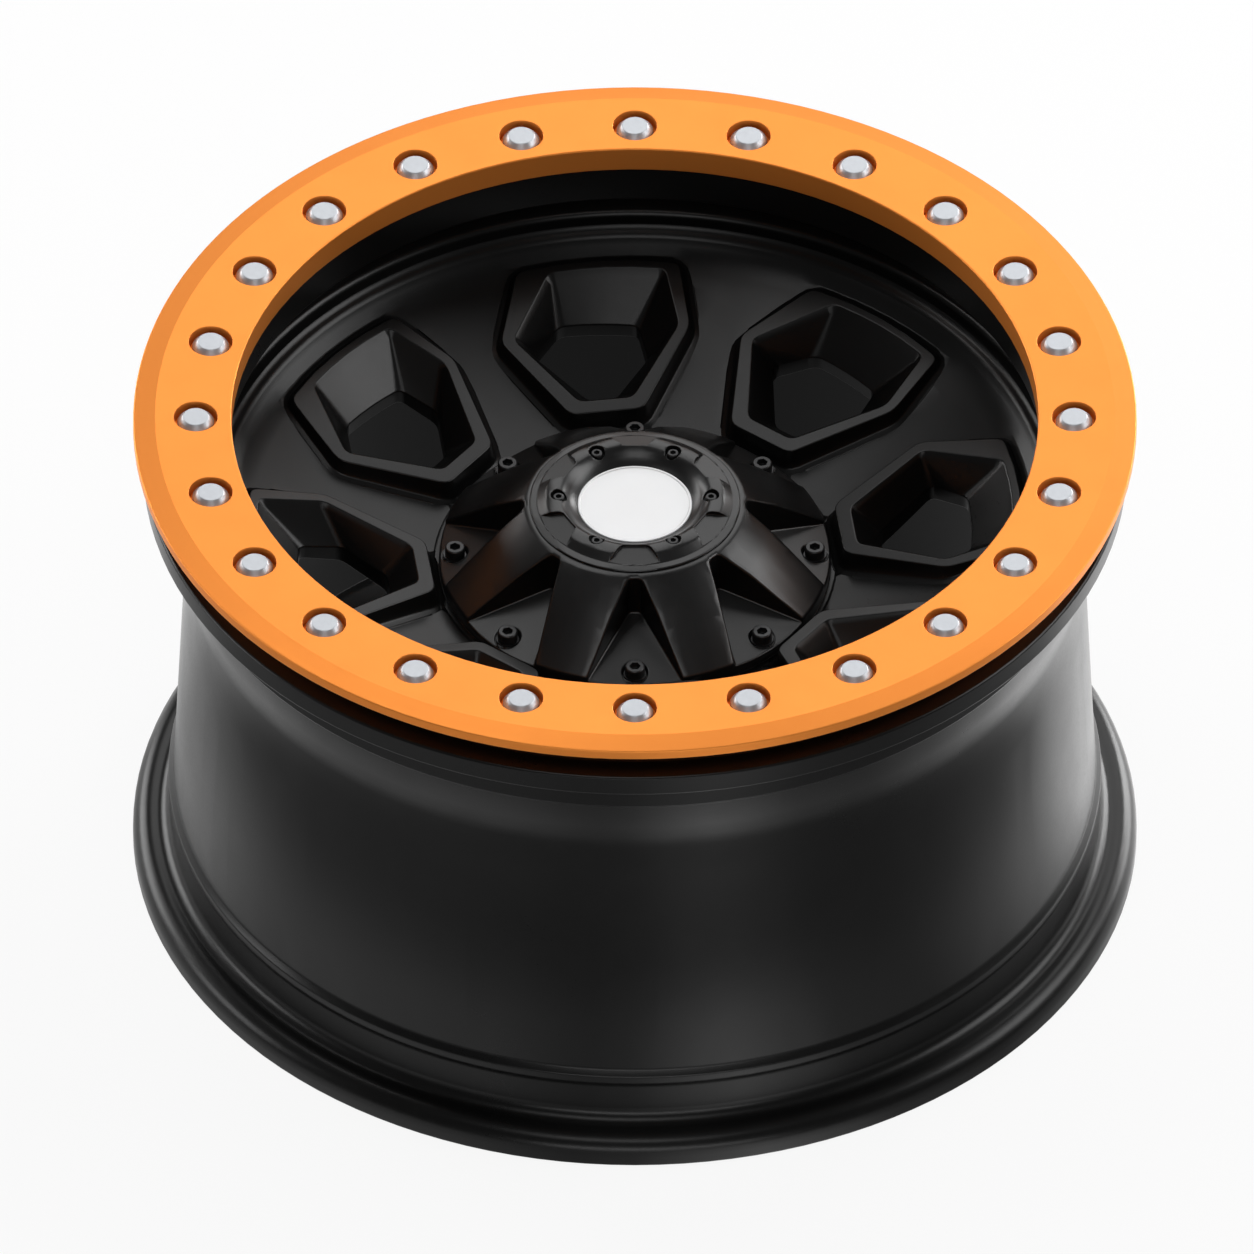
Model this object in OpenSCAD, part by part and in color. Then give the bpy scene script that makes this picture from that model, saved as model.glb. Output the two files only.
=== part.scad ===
// Beadlock wheel for a 17 inch off-road tyre, standing on its rear flange with the axis upright.
// Z = 0 is the edge of the rear flange, and the bolted clamp ring lies on top.
// Depths are measured down from the top face of the ring, radii from the axis.

/* [Rim] */
// Overall height from the rear flange edge to the top face of the ring
wheel_height = 262; // [254:1:290]
// Diameter of the two bead seats
bead_seat_d = 436.6; // [434:0.1:440]
// Height of the flanges above the bead seats
flange_rise = 17.4; // [15:0.1:19]
// Distance from the rear edge to the tyre side of the rear flange
flange_depth = 15; // [13:0.5:20]
// Radius of the roll of the rear flange
flange_roll = 9.5; // [8:0.5:11]
// Thickness of the rear flange and its lip
flange_wall = 6.5; // [5:0.5:8]
// Radius of the corner between bead seat and rear flange
bead_corner = 6.5; // [4:0.5:8]
// Rise of the safety hump above the bead seat
hump_rise = 0.8; // [0.4:0.1:1.5]
// Outer diameter of the barrel at its slim front end
barrel_front_d = 423; // [420:0.5:426]
// Outer diameter of the barrel beside the rear hump
barrel_rear_d = 433; // [428:0.5:434]
// Wall thickness of the barrel
barrel_wall = 7; // [5:0.5:9]

/* [Front seat] */
// How far the front flange stands back from the edge of the ring
front_flange_setback = 4.7; // [2:0.1:8]
// Thickness of the front flange
front_flange_t = 11.5; // [9:0.5:14]
// Depth of the front flange below the top of the ring
front_flange_depth = 22.5; // [20:0.5:26]
// Diameter of the shoulder inside the tyre bead
shoulder_d = 435; // [432:0.5:438]
// Inner diameter of the seat face under the ring
seat_bore_d = 386; // [382:0.5:390]
// Axial length of the thick seat rim
seat_length = 21; // [20:0.5:24]

/* [Clamp ring] */
// Inner diameter of the ring
ring_bore_d = 379; // [372:0.5:382]
// Thickness of the ring where it is bolted down
ring_t = 13.3; // [11:0.1:16]
// Thickness of the outer lip of the ring at its edge
ring_lip_t = 5.1; // [4:0.1:7]
// Width of the shallow slope at the outer edge of the top face
ring_slope_w = 10.3; // [6:0.1:14]
// Drop of that slope
ring_slope_drop = 1.8; // [1:0.1:3]
// Small rounding of the ring edges
ring_edge = 0.8; // [0.4:0.1:1.2]

/* [Ring bolts] */
// Number of ring bolts
ring_bolts_n = 24; // [16:1:30]
// Diameter of the bolt circle
ring_bolts_pcd = 412.5; // [411:0.5:414]
// Diameter of the counterbores
counterbore_d = 20.7; // [20:0.1:22]
// Depth of the counterbores
counterbore_depth = 6; // [5:0.1:7]
// Diameter of the flat top of a bolt head
bolt_top_d = 12; // [9:0.1:14]
// Largest diameter of a bolt head
bolt_head_d = 17.2; // [16:0.1:18]
// Height of the sloped edge of a bolt head
bolt_slope_h = 2.8; // [2:0.1:3.2]
// Thread diameter of the ring bolts
bolt_d = 8; // [6:0.5:8]
// Thickness of the washers under the ring bolts
washer_t = 1.6; // [1:0.1:2]
// Outer diameter of the threaded inserts
insert_d = 12; // [11:0.1:13]
// Length of the threaded inserts
insert_l = 16; // [12:0.5:17]

/* [Dish] */
// Depth of the dish where it meets the centre cap
dish_depth = 93; // [90:0.5:97]
// Slope of the dish beside the cap, as rise for each millimetre of radius
dish_slope = 0.2; // [0.15:0.01:0.24]
// Growth of that slope with the square of the radius
dish_curve = 0.00101; // [0.0008:0.00001:0.0011]
// Thickness of the dish along the axis
dish_t = 14.5; // [12:0.5:17]
// Depth of the crease above the cove of the dish
cove_depth = 54; // [53:0.5:56]

/* [Windows] */
// Number of windows
windows_n = 8; // [5:1:8]
// Turn of the window pattern from the first ring bolt
windows_turn = -7.5; // [-15:0.5:15]
// Depth of the window rims at their outer end
rim_depth = 63.3; // [62:0.1:66]
// Fall of the window rims toward the hub for each millimetre
rim_fall = 0.233; // [0.2:0.005:0.26]
// Depth of the narrow throat of a window at its outer end
throat_depth = 82; // [80:0.5:86]
// Width of the chamfer inside the rim of a window
rim_chamfer = 2.6; // [1:0.1:3]
// Radius of the hollow around the foot of a window rim
foot_fillet = 4; // [2:0.5:5]

/* [Hub] */
// Number of wheel studs
lugs_n = 5; // [4:1:6]
// Diameter of the stud circle
lugs_pcd = 127; // [120:0.1:130]
// Diameter of the stud holes
lug_hole_d = 15.5; // [13:0.1:17]
// Outer diameter of the conical nut seats
lug_seat_d = 26; // [22:0.5:27]
// Diameter of the centre bore
centre_bore_d = 78.1; // [71.5:0.1:80]
// Depth of the nut pocket below the seat of the cap
nut_pocket_depth = 29.7; // [24:0.1:36]
// Thickness of the hub pad at the studs
pad_t = 22; // [18:0.5:25]
// Diameter of the mounting face
pad_d = 166; // [160:1:174]
// Diameter of the pocket for the nuts under the cap
nut_pocket_d = 154; // [152:0.5:156]
// Diameter of the valve hole
valve_hole_d = 8.4; // [8:0.1:9]
// Turn of the valve hole from the first ring bolt
valve_turn = 187.5; // [0:7.5:352.5]

/* [Centre cap] */
// Outer diameter of the cap
cap_d = 184; // [180:0.5:188]
// Number of cap screws, valleys and ribs
cap_n = 8; // [6:1:8]
// Diameter of the cap screw circle
cap_screws_pcd = 169; // [167:0.5:170]
// Thickness of the cap at the end of a valley
cap_foot_t = 6; // [5:0.5:8]
// Height of the outer edge of the cap at a rib
cap_edge_h = 8.4; // [7:0.1:10]
// Height of the seat for the crown above the foot of the cap
cap_h = 39; // [36:0.5:42]
// Diameter of the seat for the crown
crown_seat_d = 99.4; // [96:0.2:102]
// Width of a valley beside the crown
valley_in_w = 8; // [6:0.5:12]
// Width of a valley at the edge of the cap
valley_out_w = 47; // [30:0.5:50]
// Radius at which a valley begins
valley_in_r = 54.5; // [53:0.5:60]
// Rise of the valley floor from the edge to the inner end
valley_rise = 11; // [6:0.5:14]
// Wall thickness of the cap
cap_wall = 4; // [3:0.5:5]

/* [Cap screws] */
// Thread diameter of the cap screws
cap_screw_d = 5; // [4:0.5:6]
// Head diameter of the cap screws
cap_screw_head_d = 9.4; // [8:0.1:10]
// Head height of the cap screws
cap_screw_head_h = 5; // [4:0.1:6]
// Width across flats of the sockets of the cap screws
cap_screw_key = 4.5; // [3:0.5:5]
// Outer diameter of the washers under the cap screws
cap_washer_d = 10.6; // [10:0.1:12]
// Thickness of the washers under the cap screws
cap_washer_t = 1.2; // [0.8:0.1:2]

/* [Crown] */
// Height of the crown above its seat
crown_h = 5.2; // [4.6:0.1:5.6]
// Diameter of the body of the crown at its foot
crown_body_d = 92; // [90:0.5:94]
// Diameter of the outer edge of the top of the crown
crown_top_d = 82; // [80:0.5:84]
// Number of crown screws and recesses
crown_n = 6; // [5:1:6]
// Diameter of the crown screw circle
crown_screws_pcd = 71.6; // [70:0.1:72.4]
// Thread diameter of the crown screws
crown_screw_d = 3; // [2.5:0.5:3]
// Head diameter of the crown screws
crown_head_d = 5.5; // [5:0.1:6]
// Diameter of the round recesses for the crown screws
crown_recess_d = 7.6; // [7:0.1:8]
// Diameter of the disc in the middle
disc_d = 54; // [50:0.5:56]
// Thickness of the disc
disc_t = 2.4; // [1.6:0.1:3]

/* [Fits] */
// Gap between a screw shank and its hole
shank_gap = 0.5; // [0.2:0.05:0.8]
// Gap around pieces that are pressed or screwed in
seat_gap = 0.03; // [0.01:0.01:0.1]

/* [Hidden] */

$fn = 96;

// Rim outline
bead_r = bead_seat_d / 2;
flange_r = bead_r + flange_rise;
barrel_front_r = barrel_front_d / 2;
barrel_rear_r = barrel_rear_d / 2;
bead_seat_w = 11.5;
bead_taper = 1;
hump_w = 12;
hump_top_w = 3;
shoulder_rear_r = bead_r + 0.7;
shoulder_w = 13;
shoulder_step = 0.8;
shoulder_fillet = 4;
bead_ledge = 5;
flare_l = 32;
barrel_taper_l = 30;
barrel_in_r = barrel_front_r - barrel_wall;

// Front seat
seat_z = wheel_height - ring_t;
lip_z = wheel_height - front_flange_depth;
front_flange_r = flange_r - front_flange_setback;
shoulder_r = shoulder_d / 2;
seat_bore_r = seat_bore_d / 2;
ring_r = flange_r;
ring_bore_r = ring_bore_d / 2;
bolts_r = ring_bolts_pcd / 2;
seat_fillet = 2.5;
seat_edge = 0.8;
seat_slope_l = 9;
flange_under_edge = 2;
flange_edge = 1.2;
bolt_head_h = counterbore_depth - washer_t;
bolt_edge = 0.4;
bolt_dimple = 0.35;
insert_top = 1.5;
insert_floor = 2;
drill_run = 1;

// Dish
cap_r = cap_d / 2;
dish_z0 = wheel_height - dish_depth;
cove_z = wheel_height - cove_depth;
wall_r = min(barrel_in_r, shoulder_r - 12);
cove_fillet = 4;
ledge_r = wall_r - 6;
cove_r = ledge_r - 7;
dish_edge_r = cove_r - 4;
dish_steps = 12;

// Hub
nut_floor_z = dish_z0 - nut_pocket_depth;
pad_z = nut_floor_z - pad_t;
pad_r = pad_d / 2;
nut_pocket_r = nut_pocket_d / 2;
pad_edge = 1.5;
skirt_r = 118;
skirt_drop = 12;
lugs_r = lugs_pcd / 2;
lug_cone_h = (lug_seat_d - lug_hole_d) / 2 * sqrt(3);
valve_drop = 5.3;
valve_z = lip_z - front_flange_t - valve_drop;

// Cap
cap_z = dish_z0;
crown_seat_r = crown_seat_d / 2;
cap_screws_r = cap_screws_pcd / 2;
valley_out_r = cap_r;
valley_out_z = cap_z + cap_foot_t - 1;
valley_in_z = valley_out_z + valley_rise;
cap_hollow_r = crown_seat_r - cap_wall;
cap_screw_seat = cap_foot_t - 0.8;
cap_insert_d = cap_screw_d + 3;
cap_insert_l = 10;
cap_insert_top = 0.5;
cap_plug_h = 4;
cap_socket_h = 2.8;
crown_z = cap_z + cap_h;
crown_body_r = crown_body_d / 2;
crown_top_r = crown_top_d / 2;
crown_screws_r = crown_screws_pcd / 2;
crown_turn = 180 / crown_n;
crown_seat_lip = 1;
disc_r = disc_d / 2;
disc_z = crown_z - 3.4;
funnel_r = 32;
crown_head_z = crown_z + 1;
crown_head_h = 3;
crown_head_edge = 0.4;
crown_screw_l = 9;
crown_key = 2.5;
crown_socket_h = 1.6;
crown_plug_h = 7;
crown_crest_r = 37;
crown_recess_in_w = 15.6;
crown_recess_out_w = 26;
crown_recess_rise = 2.2;

// Points on an arc about [cr, cz] from angle a0 to a1
function arc(cr, cz, rad, a0, a1, steps) =
    [for (i = [0 : steps]) [cr + rad * cos(a0 + (a1 - a0) * i / steps),
        cz + rad * sin(a0 + (a1 - a0) * i / steps)]];

// Height of the front of the dish at radius r
function dish_z(r) = dish_z0 + dish_slope * (r - cap_r) + dish_curve * pow(max(r - cap_r, 0), 2);

// Corners of a window as [radius, angle from the middle of the window], clockwise from the left
rim_inner = [[146.4, -15.4], [177.4, -5.8], [177.4, 12.1], [147.2, 15.6], [104.3, 7.1], [104.3, -7.1]];
rim_outer = [[147.4, -17.8], [181.6, -10.3], [181.6, 14.1], [148, 17.6], [98.4, 9.9], [98.4, -10.4]];
throat = [[147, -11.4], [160, -5.4], [158, 8], [138, 10.2], [116.8, 3.1], [116.8, -3.1]];
window_ref_r = 176;
arc_steps = 4;
corner_steps = 3;

function polar(c) = [c[0] * sin(c[1]), c[0] * cos(c[1])];
function unit(v) = v / norm(v);
// A corner drawn as a short curve that leaves each side at distance t
function soft_corner(p0, p1, p2, t) =
    let (a = p1 + unit(p0 - p1) * t, b = p1 + unit(p2 - p1) * t)
    [for (i = [0 : corner_steps]) let (s = i / corner_steps)
        a * pow(1 - s, 2) + p1 * 2 * s * (1 - s) + b * s * s];
// Outline of a window with soft corners and an outer side that is an arc about the axis
function window_outline(c, t) =
    let (p = [for (q = c) polar(q)], ta = t / c[1][0] * 180 / PI,
        b_end = polar([c[1][0], c[1][1] + ta]), c_end = polar([c[2][0], c[2][1] - ta]))
    concat(
        soft_corner(p[5], p[0], p[1], t),
        soft_corner(p[0], p[1], b_end, t),
        [for (i = [1 : arc_steps - 1]) let (s = i / arc_steps)
            polar([c[1][0] + (c[2][0] - c[1][0]) * s, c[1][1] + ta + (c[2][1] - c[1][1] - 2 * ta) * s])],
        soft_corner(c_end, p[2], p[3], t),
        soft_corner(p[2], p[3], p[4], t),
        soft_corner(p[3], p[4], p[5], t),
        soft_corner(p[4], p[5], p[0], t));
// The outline moved outward by o, or inward where o is negative
function grown(ring, o) =
    let (n = len(ring))
    [for (i = [0 : n - 1]) let (d = unit(ring[(i + 1) % n] - ring[(i + n - 1) % n]))
        ring[i] + [-d[1], d[0]] * o];
function rim_z(p) = wheel_height - rim_depth - rim_fall * (window_ref_r - p[1]);
function throat_z(p) = wheel_height - throat_depth - rim_fall * (160 - p[1]);
function lifted(ring, heights) = [for (i = [0 : len(ring) - 1]) [ring[i][0], ring[i][1], heights[i]]];

// A closed solid through rings of equally many points, from the highest ring to the lowest
module loft(rings) {
    n = len(rings[0]);
    m = len(rings);
    sides = [for (k = [0 : m - 2]) for (i = [0 : n - 1]) let (j = (i + 1) % n)
        each [[k * n + i, (k + 1) * n + i, (k + 1) * n + j], [k * n + i, (k + 1) * n + j, k * n + j]]];
    polyhedron(
        points = [for (ring = rings) each ring],
        faces = concat([[for (i = [0 : n - 1]) i]], sides, [[for (i = [0 : n - 1]) m * n - 1 - i]]));
}

module around(count, turn = 0) {
    for (i = [0 : count - 1])
        rotate([0, 0, -turn - i * 360 / count])
            children();
}

// Raised rim of one window with a hollow foot that runs out into the dish
module window_rim() {
    top = window_outline(rim_outer, 4);
    n = len(top);
    h = [for (p = top) max(rim_z(p) - dish_z(norm(p)), 0.6)];
    f = [for (v = h) min(foot_fillet, v * 0.7)];
    wall = grown(top, 1);
    mid = grown(top, 1 + foot_fillet * 0.35);
    foot = grown(top, 1 + foot_fillet);
    loft([
        lifted(top, [for (p = top) rim_z(p)]),
        lifted(wall, [for (i = [0 : n - 1]) dish_z(norm(wall[i])) + f[i]]),
        lifted(mid, [for (i = [0 : n - 1]) dish_z(norm(mid[i])) + f[i] * 0.3]),
        lifted(foot, [for (i = [0 : n - 1]) dish_z(norm(foot[i])) - 0.1]),
        lifted(foot, [for (p = foot) dish_z(norm(p)) - dish_t * 0.6])]);
}

// Funnel of one window, with a chamfer at the rim and a straight throat
module window_funnel() {
    mouth = window_outline(rim_inner, 3.5);
    inner = grown(mouth, -rim_chamfer);
    neck = window_outline(throat, 3.5);
    loft([
        lifted(grown(mouth, 1), [for (p = mouth) rim_z(p) + 1]),
        lifted(inner, [for (p = inner) rim_z(p) - rim_chamfer]),
        lifted(neck, [for (p = neck) throat_z(p)]),
        lifted(neck, [for (p = neck) pad_z])]);
}

// Half section of the casting, from the rear lip up the outside and down the inside
module casting_section() {
    roll_r = flange_r - flange_roll;
    seat_end = flange_depth + bead_corner + bead_seat_w;
    hump_end = seat_end + hump_w;
    shoulder_z = lip_z - front_flange_t;
    bore_r = centre_bore_d / 2;
    skirt_z = dish_z(skirt_r) - dish_t;
    bead_in_r = bead_r - barrel_wall - 1.5;
    lip_in_r = flange_r - flange_wall;
    lip_fillet = flange_roll - 6;
    step_z = shoulder_z - bead_ledge - shoulder_w;
    taper_z = step_z - flare_l - 12;
    back = [for (i = [1 : dish_steps]) let (r = skirt_r + (dish_edge_r - skirt_r) * i / dish_steps)
        [r, dish_z(r) - dish_t]];
    front = [for (i = [0 : dish_steps]) let (r = dish_edge_r + (cap_r + 3 - dish_edge_r) * i / dish_steps)
        [r, dish_z(r)]];
    polygon(concat(
        [[lip_in_r, 0], [flange_r - 1, 0], [flange_r, 1]],
        arc(roll_r, flange_depth - flange_roll, flange_roll, 0, 90, 8),
        arc(bead_r + bead_corner, flange_depth + bead_corner, bead_corner, 270, 180, 6),
        [[bead_r - bead_taper, seat_end],
            [bead_r + hump_rise - 0.3, seat_end + 3.5],
            [bead_r + hump_rise, seat_end + 5],
            [bead_r + hump_rise, seat_end + 5 + hump_top_w],
            [barrel_rear_r + 0.6, hump_end - 1.5],
            [barrel_rear_r, hump_end],
            [barrel_front_r + 0.7, step_z - flare_l - barrel_taper_l],
            [barrel_front_r, taper_z],
            [barrel_front_r, step_z - flare_l],
            [barrel_front_r + 1.2, step_z - flare_l + 8],
            [shoulder_rear_r - shoulder_step - 1.5, step_z - 8],
            [shoulder_rear_r - shoulder_step, step_z],
            [shoulder_rear_r, step_z + 0.8]],
        arc(shoulder_rear_r + shoulder_fillet, shoulder_z - shoulder_fillet, shoulder_fillet, 180, 90, 4),
        arc(front_flange_r - flange_under_edge, shoulder_z + flange_under_edge, flange_under_edge, -90, 0, 3),
        arc(front_flange_r - flange_edge, lip_z - flange_edge, flange_edge, 0, 90, 2),
        arc(shoulder_r + seat_fillet, lip_z + seat_fillet, seat_fillet, 270, 180, 3),
        [[shoulder_r, seat_z - seat_edge], [shoulder_r - seat_edge, seat_z],
            [seat_bore_r + seat_edge, seat_z], [seat_bore_r, seat_z - seat_edge],
            [seat_bore_r, seat_z - seat_length],
            [wall_r, seat_z - seat_length - seat_slope_l]],
        arc(wall_r - cove_fillet, cove_z + cove_fillet, cove_fillet, 0, -75, 4),
        [[ledge_r, cove_z - 0.6], [ledge_r - 1.5, cove_z - 1.5], [cove_r + 3.5, cove_z - 5.2],
            [cove_r, cove_z - 7.4]],
        front,
        [[cap_r + 2, dish_z0], [nut_pocket_r, dish_z0], [nut_pocket_r, nut_floor_z + 3],
            [nut_pocket_r - 3, nut_floor_z],
            [bore_r + pad_edge, nut_floor_z], [bore_r, nut_floor_z - pad_edge],
            [bore_r, pad_z + pad_edge], [bore_r + pad_edge, pad_z],
            [pad_r, pad_z], [pad_r + 2, pad_z + pad_edge],
            [skirt_r - 14, skirt_z - skirt_drop],
            [skirt_r - 7, skirt_z - skirt_drop / 3],
            [skirt_r, skirt_z]],
        [for (i = [0 : len(back) - 2]) back[i]],
        [[dish_edge_r, dish_z(dish_edge_r) - dish_t - 1.5],
            [wall_r - 6, cove_z - 24], [barrel_in_r - 1, cove_z - 33], [barrel_in_r, cove_z - 42],
            [barrel_in_r, taper_z],
            [barrel_rear_r - barrel_wall, hump_end],
            [bead_in_r, flange_depth + bead_corner],
            [bead_in_r, flange_depth - flange_wall + 3],
            [bead_in_r + 3, flange_depth - flange_wall]],
        arc(lip_in_r - lip_fillet, flange_depth - flange_wall - lip_fillet, lip_fillet, 90, 0, 4)));
}

module wheel_casting() {
    color([0.07, 0.07, 0.075])
    difference() {
        union() {
            rotate_extrude($fn = 180)
                casting_section();
            around(windows_n, windows_turn)
                window_rim();
        }
        around(windows_n, windows_turn)
            window_funnel();
        around(ring_bolts_n)
            translate([0, bolts_r, seat_z - insert_top - insert_l - insert_floor])
                cylinder(d = insert_d + 2 * seat_gap, h = insert_floor + insert_l + insert_top + drill_run,
                    $fn = 32);
        around(cap_n)
            translate([0, cap_screws_r, cap_z - cap_insert_l - insert_floor])
                cylinder(d = cap_insert_d + 2 * seat_gap, h = insert_floor + cap_insert_l + drill_run,
                    $fn = 32);
        around(lugs_n)
            translate([0, lugs_r, 0]) {
                translate([0, 0, pad_z - drill_run])
                    cylinder(d = lug_hole_d, h = pad_t + 2 * drill_run, $fn = 48);
                translate([0, 0, nut_floor_z - lug_cone_h])
                    cylinder(d1 = lug_hole_d, d2 = lug_seat_d, h = lug_cone_h, $fn = 48);
                translate([0, 0, nut_floor_z - 0.01])
                    cylinder(d = lug_seat_d, h = nut_pocket_depth / 6, $fn = 48);
            }
        rotate([0, 0, -valve_turn])
            translate([0, seat_bore_r - drill_run, valve_z])
                rotate([-90, 0, 0])
                    cylinder(d = valve_hole_d, h = flange_r - seat_bore_r, $fn = 32);
    }
}

// The ring that clamps the outer bead of the tyre
module beadlock_ring() {
    slope_r = ring_r - ring_slope_w;
    lip_bottom = wheel_height - ring_slope_drop - ring_lip_t;
    ring_fillet = 3;
    color([0.93, 0.47, 0.16])
    difference() {
        rotate_extrude($fn = 180)
            polygon(concat(
                [[ring_bore_r, seat_z + 0.5], [ring_bore_r + 0.5, seat_z],
                    [shoulder_r - seat_edge, seat_z], [shoulder_r, seat_z + seat_edge]],
                arc(shoulder_r + ring_fillet, lip_bottom - ring_fillet, ring_fillet, 180, 90, 4),
                arc(ring_r - ring_edge, lip_bottom + ring_edge, ring_edge, -90, 0, 3),
                arc(ring_r - ring_edge, wheel_height - ring_slope_drop - ring_edge, ring_edge, 0, 80, 3),
                [[slope_r, wheel_height]],
                arc(ring_bore_r + ring_edge, wheel_height - ring_edge, ring_edge, 90, 180, 3)));
        around(ring_bolts_n)
            translate([0, bolts_r, 0]) {
                translate([0, 0, wheel_height - counterbore_depth])
                    cylinder(d = counterbore_d, h = counterbore_depth + drill_run, $fn = 48);
                translate([0, 0, seat_z - drill_run])
                    cylinder(d = bolt_d + 2 * shank_gap, h = ring_t, $fn = 32);
            }
    }
}

module ring_bolts() {
    top = wheel_height;
    end_z = seat_z - insert_top - insert_l;
    under = top - bolt_head_h;
    color([0.74, 0.77, 0.82])
    around(ring_bolts_n)
        translate([0, bolts_r, 0])
            rotate_extrude($fn = 48)
                polygon([[0, end_z], [bolt_d / 2 - 1, end_z],
                    [bolt_d / 2, end_z + 1],
                    [bolt_d / 2, under],
                    [bolt_head_d / 2 - bolt_edge, under],
                    [bolt_head_d / 2, under + bolt_edge],
                    [bolt_head_d / 2, top - bolt_slope_h],
                    [bolt_top_d / 2 + bolt_edge, top - bolt_edge],
                    [bolt_top_d / 2, top],
                    [1, top], [0, top - bolt_dimple]]);
}

module ring_washers() {
    color([0.6, 0.62, 0.65])
    around(ring_bolts_n)
        translate([0, bolts_r, wheel_height - counterbore_depth])
            difference() {
                cylinder(d = bolt_head_d, h = washer_t, $fn = 48);
                translate([0, 0, -drill_run])
                    cylinder(d = bolt_d + shank_gap, h = washer_t + 2 * drill_run, $fn = 32);
            }
}

module ring_inserts() {
    color([0.5, 0.51, 0.53])
    around(ring_bolts_n)
        translate([0, bolts_r, seat_z - insert_top - insert_l])
            difference() {
                cylinder(d = insert_d, h = insert_l, $fn = 32);
                translate([0, 0, -drill_run])
                    cylinder(d = bolt_d + 2 * seat_gap, h = insert_l + 2 * drill_run, $fn = 32);
            }
}

// Plan of one valley and the ground under its sloping floor
module valley_cut() {
    run = valley_out_r - valley_in_r;
    fall = atan(valley_rise / run);
    difference() {
        translate([0, 0, cap_z + 1])
            linear_extrude(cap_h + 2)
                polygon([[1.6 - valley_in_w / 2, valley_in_r - 2], [valley_in_w / 2 - 1.6, valley_in_r - 2],
                    [valley_in_w / 2 - 0.5, valley_in_r - 0.9], [valley_in_w / 2 + 1, valley_in_r + 1.5],
                    [valley_out_w / 2 + 3, valley_out_r + 5], [-valley_out_w / 2 - 3, valley_out_r + 5],
                    [-valley_in_w / 2 - 1, valley_in_r + 1.5], [0.5 - valley_in_w / 2, valley_in_r - 0.9]]);
        translate([0, valley_out_r, valley_out_z])
            rotate([-fall, 0, 0])
                translate([-valley_out_w, -run - 20, -40])
                    cube([2 * valley_out_w, run + 40, 40]);
    }
}

module cap_body() {
    rib_top = cap_z + cap_edge_h;
    plug_r = nut_pocket_r - 0.3;
    hollow_z = crown_z - cap_wall;
    color([0.07, 0.07, 0.075])
    difference() {
        rotate_extrude($fn = 144)
            polygon([[funnel_r - 3, hollow_z - 2], [cap_hollow_r - 3, hollow_z - 2],
                [cap_hollow_r, hollow_z - 5], [cap_hollow_r, valley_in_z - cap_wall],
                [nut_pocket_r - 6, cap_z + 2.5], [plug_r - 1.2, cap_z + 1],
                [plug_r - 1.2, cap_z - cap_plug_h], [plug_r, cap_z - cap_plug_h], [plug_r, cap_z],
                [cap_r - 0.5, cap_z], [cap_r, cap_z + 0.5],
                [cap_r, rib_top - 1], [cap_r - 1, rib_top],
                [crown_seat_r + 17, crown_z - 10.6], [crown_seat_r + 3, crown_z - 1.2],
                [crown_seat_r, crown_z], [funnel_r - 3, crown_z]]);
        around(cap_n)
            valley_cut();
        around(cap_n)
            translate([0, cap_screws_r, 0]) {
                translate([0, 0, cap_z - drill_run])
                    cylinder(d = cap_screw_d + 2 * shank_gap, h = cap_h, $fn = 32);
                translate([0, 0, cap_z + cap_screw_seat])
                    cylinder(d = cap_washer_d + 2 * shank_gap, h = cap_h, $fn = 48);
            }
        around(crown_n, crown_turn)
            translate([0, crown_screws_r, crown_head_z - crown_screw_l - insert_floor])
                cylinder(d = crown_screw_d + 2 * seat_gap, h = crown_screw_l + insert_floor, $fn = 24);
    }
}

module cap_screws() {
    under = cap_z + cap_screw_seat + cap_washer_t;
    cap_screw_edge = 0.6;
    color([0.05, 0.05, 0.055])
    around(cap_n)
        translate([0, cap_screws_r, 0])
            difference() {
                rotate_extrude($fn = 48)
                    polygon([[0, cap_z - cap_insert_l], [cap_screw_d / 2, cap_z - cap_insert_l],
                        [cap_screw_d / 2, under], [cap_screw_head_d / 2, under],
                        [cap_screw_head_d / 2, under + cap_screw_head_h - cap_screw_edge],
                        [cap_screw_head_d / 2 - cap_screw_edge, under + cap_screw_head_h],
                        [0, under + cap_screw_head_h]]);
                translate([0, 0, under + cap_screw_head_h - cap_socket_h])
                    cylinder(d = cap_screw_key / cos(30), h = cap_socket_h + drill_run, $fn = 6);
            }
}

module cap_washers() {
    color([0.05, 0.05, 0.055])
    around(cap_n)
        translate([0, cap_screws_r, cap_z + cap_screw_seat])
            difference() {
                cylinder(d = cap_washer_d, h = cap_washer_t, $fn = 48);
                translate([0, 0, -drill_run])
                    cylinder(d = cap_screw_d + shank_gap, h = cap_washer_t + 2 * drill_run, $fn = 32);
            }
}

module cap_inserts() {
    color([0.5, 0.51, 0.53])
    around(cap_n)
        translate([0, cap_screws_r, cap_z - cap_insert_l - cap_insert_top])
            difference() {
                cylinder(d = cap_insert_d, h = cap_insert_l, $fn = 32);
                translate([0, 0, -drill_run])
                    cylinder(d = cap_screw_d + 2 * seat_gap, h = cap_insert_l + 2 * drill_run, $fn = 32);
            }
}

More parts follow.
